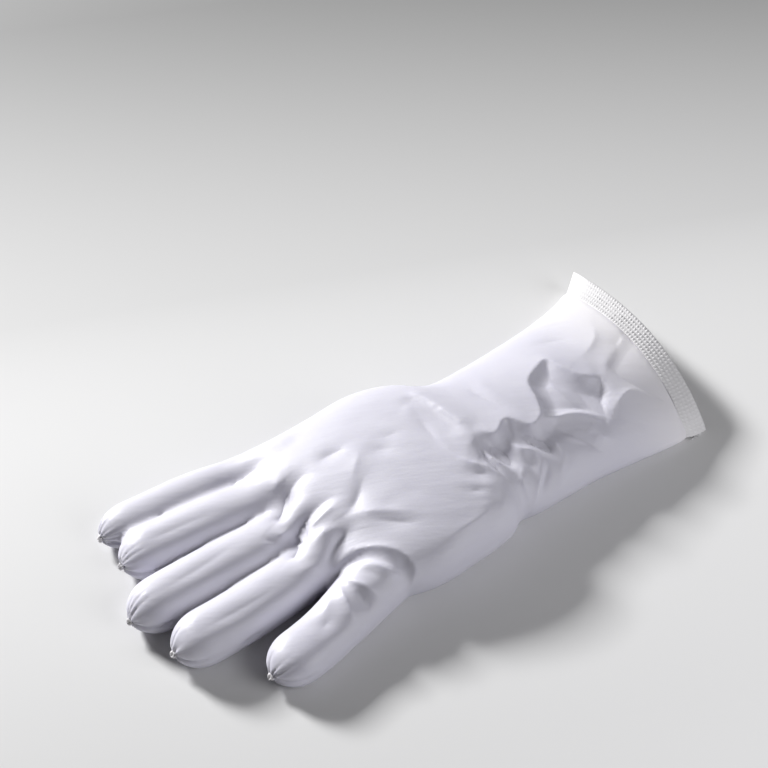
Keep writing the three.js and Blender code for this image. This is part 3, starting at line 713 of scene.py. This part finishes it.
def clouded_tint():
    """A slow drift between two colours, and the drift itself as a mask."""
    group, given, made = node_group("clouded tint",
                                    (("Place", "NodeSocketVector"), ("Size", "NodeSocketFloat"),
                                     ("Deep", "NodeSocketColor"), ("Pale", "NodeSocketColor")),
                                    (("Colour", "NodeSocketColor"), ("Mask", "NodeSocketFloat")))
    cloud = group.nodes.new("ShaderNodeTexNoise")
    cloud.inputs["Detail"].default_value = 4
    mix = group.nodes.new("ShaderNodeMix")
    mix.data_type = "RGBA"
    group.links.new(given.outputs["Place"], cloud.inputs["Vector"])
    group.links.new(given.outputs["Size"], cloud.inputs["Scale"])
    group.links.new(cloud.outputs["Fac"], mix.inputs["Factor"])
    group.links.new(given.outputs["Deep"], mix.inputs["A"])
    group.links.new(given.outputs["Pale"], mix.inputs["B"])
    group.links.new(mix.outputs["Result"], made.inputs["Colour"])
    group.links.new(cloud.outputs["Fac"], made.inputs["Mask"])
    return group


def film_grain():
    """The height of the fine streaks that run across a dipped film, and of its soft grain."""
    group, given, made = node_group("film grain",
                                    (("Place", "NodeSocketVector"), ("Streak", "NodeSocketFloat")),
                                    (("Height", "NodeSocketFloat"),))
    stretch = group.nodes.new("ShaderNodeMapping")
    stretch.vector_type = "TEXTURE"
    stretch.inputs["Rotation"].default_value = (0, 0, STREAK_TURN)
    stretch.inputs["Scale"].default_value = STREAK_STRETCH
    streaks = group.nodes.new("ShaderNodeTexNoise")
    streaks.inputs["Scale"].default_value = STREAK_SCALE
    streaks.inputs["Detail"].default_value = 3
    grain = group.nodes.new("ShaderNodeTexNoise")
    grain.inputs["Scale"].default_value = GRAIN_SCALE
    share = group.nodes.new("ShaderNodeMath")
    share.operation = "MULTIPLY"
    total = group.nodes.new("ShaderNodeMath")
    total.operation = "MULTIPLY_ADD"
    total.inputs[1].default_value = GRAIN_SHARE
    group.links.new(given.outputs["Place"], stretch.inputs["Vector"])
    group.links.new(stretch.outputs["Vector"], streaks.inputs["Vector"])
    group.links.new(given.outputs["Place"], grain.inputs["Vector"])
    group.links.new(streaks.outputs["Fac"], share.inputs[0])
    group.links.new(given.outputs["Streak"], share.inputs[1])
    group.links.new(grain.outputs["Fac"], total.inputs[0])
    group.links.new(share.outputs["Value"], total.inputs[2])
    group.links.new(total.outputs["Value"], made.inputs["Height"])
    return group


def tinted(tree, place, size, deep, pale):
    """The clouded tint in a material, with its size and its two colours."""
    tint = tree.nodes.new("ShaderNodeGroup")
    tint.node_tree = CLOUDS
    tint.inputs["Size"].default_value = size
    tint.inputs["Deep"].default_value = (*deep, 1)
    tint.inputs["Pale"].default_value = (*pale, 1)
    tree.links.new(place, tint.inputs["Place"])
    return tint


def grained(tree, place, streak, depth, shader):
    """The grain of the film as a bump on a shader."""
    grain = tree.nodes.new("ShaderNodeGroup")
    grain.node_tree = GRAIN
    grain.inputs["Streak"].default_value = streak
    bump = tree.nodes.new("ShaderNodeBump")
    bump.inputs["Distance"].default_value = depth
    bump.inputs["Strength"].default_value = 1
    tree.links.new(place, grain.inputs["Place"])
    tree.links.new(grain.outputs["Height"], bump.inputs["Height"])
    tree.links.new(bump.outputs["Normal"], shader.inputs["Normal"])


def spread(tree, value, low, high, least, most):
    """A value from low to high, spread softly from least to most."""
    reach = tree.nodes.new("ShaderNodeMapRange")
    reach.interpolation_type = "SMOOTHSTEP"
    reach.inputs["From Min"].default_value = low
    reach.inputs["From Max"].default_value = high
    reach.inputs["To Min"].default_value = least
    reach.inputs["To Max"].default_value = most
    tree.links.new(value, reach.inputs["Value"])
    return reach.outputs["Result"]


def film_material():
    """White nitrile film with a cool cast, painted paler and warmer towards the mouth of the cuff:
    painted glow of the light shining through the film there.
    """
    material, tree, shader = plain_material("white nitrile film", (0.68, 0.68, 0.745), 0.5)
    translucent(shader, 0.15, (0.003, 0.003, 0.004))
    place = tree.nodes.new("ShaderNodeTexCoord").outputs["Object"]
    tint = tinted(tree, place, 30, (0.62, 0.61, 0.71), (0.7, 0.69, 0.775))
    axes = tree.nodes.new("ShaderNodeSeparateXYZ")
    tree.links.new(place, axes.inputs["Vector"])
    # Painted glow: the cuff is painted paler and warmer towards its mouth, standing in for light
    # shining through the film.
    painted_glow = tree.nodes.new("ShaderNodeMix")
    painted_glow.data_type = "RGBA"
    painted_glow.inputs["B"].default_value = (0.88, 0.86, 0.9, 1)
    tree.links.new(spread(tree, axes.outputs["X"], *PAINTED_GLOW_SPAN, 0, 1), painted_glow.inputs["Factor"])
    tree.links.new(tint.outputs["Colour"], painted_glow.inputs["A"])
    tree.links.new(painted_glow.outputs["Result"], shader.inputs["Base Color"])
    sheen = spread(tree, tint.outputs["Mask"], 0.3, 0.7, 0.42, 0.56)
    tree.links.new(sheen, shader.inputs["Roughness"])
    grained(tree, place, 1, FILM_BUMP, shader)
    return material


def hem_material():
    """The thin hem: greyish between its dashes, white and shining on them, and painted near-white
    over its plain little-finger corner as painted highlight.
    """
    material, tree, shader = plain_material("embossed translucent hem", (0.86, 0.855, 0.87), 0.3)
    translucent(shader, 0.2, (0.003, 0.003, 0.003))
    place = tree.nodes.new("ShaderNodeTexCoord").outputs["Object"]
    tint = tinted(tree, place, 90, (0.68, 0.67, 0.68), (0.84, 0.83, 0.845))
    dashes_and_painted_highlight = tree.nodes.new("ShaderNodeAttribute")
    dashes_and_painted_highlight.attribute_name = "dashes_and_painted_highlight"
    dash = tree.nodes.new("ShaderNodeMix")
    dash.data_type = "RGBA"
    dash.inputs["B"].default_value = (0.97, 0.965, 0.975, 1)
    tree.links.new(dashes_and_painted_highlight.outputs["Fac"], dash.inputs["Factor"])
    tree.links.new(tint.outputs["Colour"], dash.inputs["A"])
    tree.links.new(dash.outputs["Result"], shader.inputs["Base Color"])
    sheen = spread(tree, dashes_and_painted_highlight.outputs["Fac"], 0, 1, 0.42, 0.16)
    tree.links.new(sheen, shader.inputs["Roughness"])
    grained(tree, place, 0.3, HEM_BUMP, shader)
    return material


def knot_material():
    """The sealed film of the knots, drawn together and glossy."""
    material, tree, shader = plain_material("sealed glossy film", (0.8, 0.79, 0.8), 0.25)
    translucent(shader, 0.2, (0.002, 0.002, 0.002))
    place = tree.nodes.new("ShaderNodeTexCoord").outputs["Object"]
    tint = tinted(tree, place, 500, (0.6, 0.58, 0.6), (0.88, 0.87, 0.88))
    tree.links.new(tint.outputs["Colour"], shader.inputs["Base Color"])
    sheen = spread(tree, tint.outputs["Mask"], 0.3, 0.7, 0.15, 0.4)
    tree.links.new(sheen, shader.inputs["Roughness"])
    grained(tree, place, 0.3, KNOT_BUMP, shader)
    return material


CLOUDS = clouded_tint()
GRAIN = film_grain()


def hem_sheet(bm, insets, draws):
    """One side of the hem as a sheet of its own, and the column and row of each of its points. A
    draw pulls both corners of a section in."""
    around, across = DASHES * DASH_POINTS, len(insets) - 1
    stations = np.linspace(HEM_EDGE, GLOVE_LENGTH, across + 1)
    rings = []
    for x, inset, drawn in zip(stations, insets, draws):
        ring = even_hand_ring(x, float(inset), around)
        middle = (ring[:, 1].max() + ring[:, 1].min()) / 2
        half = (ring[:, 1].max() - ring[:, 1].min()) / 2
        share = (ring[:, 1] - middle) / half
        ring[:, 1] -= drawn * share * np.abs(share) ** 6
        rings.append(ring)
    made = bmesh.ops.create_grid(bm, x_segments=around, y_segments=across, size=0.5)["verts"]
    spots = [(round((v.co.x + 0.5) * around) % around, round((v.co.y + 0.5) * across))
             for v in made]
    for vert, (u, v) in zip(made, spots):
        vert.co = rings[v][u]
    return made, spots


def hem():
    """The embossed strip round the mouth: rows of small raised dashes, thin at its inner edge."""
    across = DASH_ROWS * ROW_POINTS
    along = np.linspace(0, 1, across + 1)
    feather = smoothstep(along, 0, 0.3)
    film_inset = (HEM_WALL + HEM_GAP) * smoothstep(HEM_EDGE + along * (GLOVE_LENGTH - HEM_EDGE),
                                                   HEM_START - TUCK, HEM_START)
    outer_inset = FEATHER_INSET * (1 - feather)
    drawn = CORNER_DRAW * (1 - smoothstep(along, 0, 0.6))
    bm = bmesh.new()
    dashes_and_painted_highlight = bm.verts.layers.float.new("dashes_and_painted_highlight")
    made, spots = hem_sheet(bm, outer_inset, drawn)
    bm.normal_update()
    outward = 1 if max(bm.verts, key=lambda v: v.co.z).normal.z > 0 else -1
    steps = []
    for vert, (u, v) in zip(made, spots):
        part = u / (DASHES * DASH_POINTS)
        column = part * DASHES
        row = v / across * DASH_ROWS
        side = math.cos(2 * math.pi * column)
        end = math.cos(2 * math.pi * row)
        edge = smoothstep(v, 0, 3) * smoothstep(across - v, 0, 2)
        spot = Vector((math.floor(column) * 3.7, math.floor(row) * 5.3, 0))
        vary = 0.75 + 0.6 * noise.noise(spot)
        place = smoothstep(part, *DASHES_BEGIN) * (1 - 0.6 * smoothstep(part, *DASHES_WANE))
        dash = smoothstep(side, -0.1, 0.8) * smoothstep(-end, -0.6, 0.5)
        amount = float(edge * dash * place) * vary
        # Painted highlight: the plain corner on the little-finger side is painted near-white, where
        # the light falls full on it.
        corner = float(1 - smoothstep(part, *HIGHLIGHT_CORNER_ENDS))
        vert[dashes_and_painted_highlight] = min(1, max(amount, corner * 0.9))
        steps.append((vert, vert.normal * (outward * DASH_HEIGHT * amount)))
    for vert, step in steps:
        vert.co += step
    inner_inset = np.minimum(outer_inset + HEM_WALL,
                             np.maximum(outer_inset + FEATHER_WALL, film_inset - HEM_GAP))
    hem_sheet(bm, inner_inset, drawn)
    bmesh.ops.remove_doubles(bm, verts=bm.verts, dist=0.02)
    rims = [e for e in bm.edges if e.is_boundary]
    middle = (HEM_EDGE + GLOVE_LENGTH) / 2
    for mouth in (False, True):
        loops = []
        for edge in rims:
            x, y, _ = edge.verts[0].co
            if (x - MOUTH_SKEW * y > middle) == mouth:
                loops.append(edge)
        bmesh.ops.bridge_loops(bm, edges=loops)
    frays(bm)
    bmesh.ops.recalc_face_normals(bm, faces=bm.faces)
    return bm


def frays(bm):
    """A few threads of torn film at the hem's corner on the table."""
    corner = Vector((*hand_ring(GLOVE_LENGTH - 6, 0, np.array([math.pi]))[0][:2], 1.2))
    for number in range(FRAYS):
        made = bmesh.ops.create_cone(bm, cap_ends=True, segments=6, radius1=FRAY_RADII[0],
                                     radius2=FRAY_RADII[1], depth=FRAY_LENGTH)["verts"]
        turn = Matrix.Rotation(math.radians(-150 + 36 * number), 4, "Z")
        tip = Matrix.Rotation(math.radians(74 + 5 * math.sin(3 * number)), 4, "Y")
        start = Matrix.Translation(corner + Vector((1.6 * number - 3.2, 0.2 * number, 0)))
        bmesh.ops.transform(bm, matrix=start @ turn @ tip, verts=made)


def nubs():
    """The small knot of sealed film at each tip."""
    bm = bmesh.new()
    for number, name in enumerate(DIGITS):
        neck, inward, across = digit_tip(name)
        lift = across.cross(inward)
        made = bmesh.ops.create_uvsphere(bm, u_segments=30, v_segments=14, radius=1)
        for vert in made["verts"]:
            x, y, z = vert.co
            angle = math.atan2(y, x)
            frill = (1 + 0.16 * math.sin(6 * angle + number)
                     + 0.07 * math.sin(11 * angle + 2 * number))
            width = NUB_WIDTH * frill * (1 + 0.25 * z)
            out = NUB_LENGTH * (z - 0.5) + 0.3 * math.sin(3 * angle + number) * (1 + z)
            vert.co = (neck - inward * out + across * (x * width)
                       + lift * (y * width * 0.9) + Vector((0, 0, -0.18 * out)))
    bmesh.ops.recalc_face_normals(bm, faces=bm.faces)
    return bm


piece("glove_skin", film(), [film_material()], "glove_film")
piece("cuff_hem", hem(), [hem_material()], "cuff_band")
piece("tip_knots", nubs(), [knot_material()], None)

# Floor, light and camera. The camera looks down on the glove, whose axis runs to the right and
# away from it. Distances are in metres.
TURN = math.radians(-35.4)
RISE = math.radians(45)
FIELD = math.radians(30)
DISTANCE = 0.731
AIM = Vector((28.3, 65.8, 0)) * MM
ahead = Vector((math.sin(-TURN), math.cos(TURN), 0))
rightward = Vector((math.cos(TURN), math.sin(TURN), 0))

# The floor's half-size, and its painted shade: how its fade is turned, where the fade starts and
# ends, and its greys, darker towards the back as painted fall-off of the light
FLOOR_SIZE = 6
FLOOR_SHADE_TURN = math.radians(35.4 - 14)
FLOOR_SHADE_SPAN = (-0.14, 0.46)
FLOOR_PAINTED_SHADES = ((0, 0.68), (0.3, 0.8), (0.5, 0.7), (1, 0.17))

# The lights, as the camera sees them: right, back, up, size, power and colour
KEY_LIGHT = (-1.42, 1.22, 0.97, 0.4, 73, (1, 1, 1))
FILL_LIGHT = (0.55, -0.35, 0.4, 0.5, 2.7, (0.97, 0.97, 1))
ROOM_COLOUR = (0.78, 0.765, 0.75, 1)
ROOM_STRENGTH = 0.088


def floor_material():
    """A pale floor, painted darker towards the back: painted shade for the light falling off."""
    material, tree, shader = plain_material("studio floor with painted falloff", (0.86, 0.86, 0.86), 0.75)
    place = tree.nodes.new("ShaderNodeTexCoord")
    turn = tree.nodes.new("ShaderNodeMapping")
    turn.inputs["Rotation"].default_value = (0, 0, FLOOR_SHADE_TURN)
    axes = tree.nodes.new("ShaderNodeSeparateXYZ")
    reach = tree.nodes.new("ShaderNodeMapRange")
    reach.inputs["From Min"].default_value = FLOOR_SHADE_SPAN[0]
    reach.inputs["From Max"].default_value = FLOOR_SHADE_SPAN[1]
    # Painted shade: the ramp darkens the floor towards the back, standing in for the light falling
    # off.
    fade = tree.nodes.new("ShaderNodeValToRGB")
    fade.color_ramp.interpolation = "B_SPLINE"
    stops = fade.color_ramp.elements
    for position, grey in FLOOR_PAINTED_SHADES:
        if position in (0, 1):
            stop = stops[-position]
        else:
            stop = stops.new(position)
        stop.color = (grey, grey, grey, 1)
    tree.links.new(place.outputs["Object"], turn.inputs["Vector"])
    tree.links.new(turn.outputs["Vector"], axes.inputs["Vector"])
    tree.links.new(axes.outputs["Y"], reach.inputs["Value"])
    tree.links.new(reach.outputs["Result"], fade.inputs["Fac"])
    tree.links.new(fade.outputs["Color"], shader.inputs["Base Color"])
    return material


def studio_floor():
    """The wide floor that the glove lies on."""
    mesh = bpy.data.meshes.new("floor")
    bm = bmesh.new()
    bmesh.ops.create_grid(bm, x_segments=1, y_segments=1, size=FLOOR_SIZE)
    bm.to_mesh(mesh)
    bm.free()
    mesh.materials.append(floor_material())
    floor = bpy.data.objects.new("floor", mesh)
    bpy.context.scene.collection.objects.link(floor)
    return floor


def soft_light(name, right, back, up, size, watts, colour):
    """A square soft box, placed as the camera sees it, and aimed at the glove."""
    data = bpy.data.lights.new(name, "AREA")
    data.shape = "SQUARE"
    data.size = size
    data.energy = watts
    data.color = colour
    light = bpy.data.objects.new(name, data)
    bpy.context.scene.collection.objects.link(light)
    light.location = rightward * right + ahead * back + Vector((0, 0, up))
    light.rotation_euler = (-light.location).to_track_quat("-Z", "Y").to_euler()


floor = studio_floor()
soft_light("key light", *KEY_LIGHT)
soft_light("fill light", *FILL_LIGHT)

world = bpy.data.worlds.new("studio")
bpy.context.scene.world = world
world.use_nodes = True
room = world.node_tree.nodes["Background"]
room.inputs["Color"].default_value = ROOM_COLOUR
room.inputs["Strength"].default_value = ROOM_STRENGTH
bpy.context.scene.view_settings.view_transform = "Standard"

camera_data = bpy.data.cameras.new("camera")
camera_data.angle = FIELD
camera = bpy.data.objects.new("camera", camera_data)
bpy.context.scene.collection.objects.link(camera)
level = AIM - ahead * DISTANCE * math.cos(RISE)
camera.location = level + Vector((0, 0, DISTANCE * math.sin(RISE)))
camera.rotation_euler = (AIM - camera.location).to_track_quat("-Z", "Y").to_euler()
bpy.context.scene.camera = camera
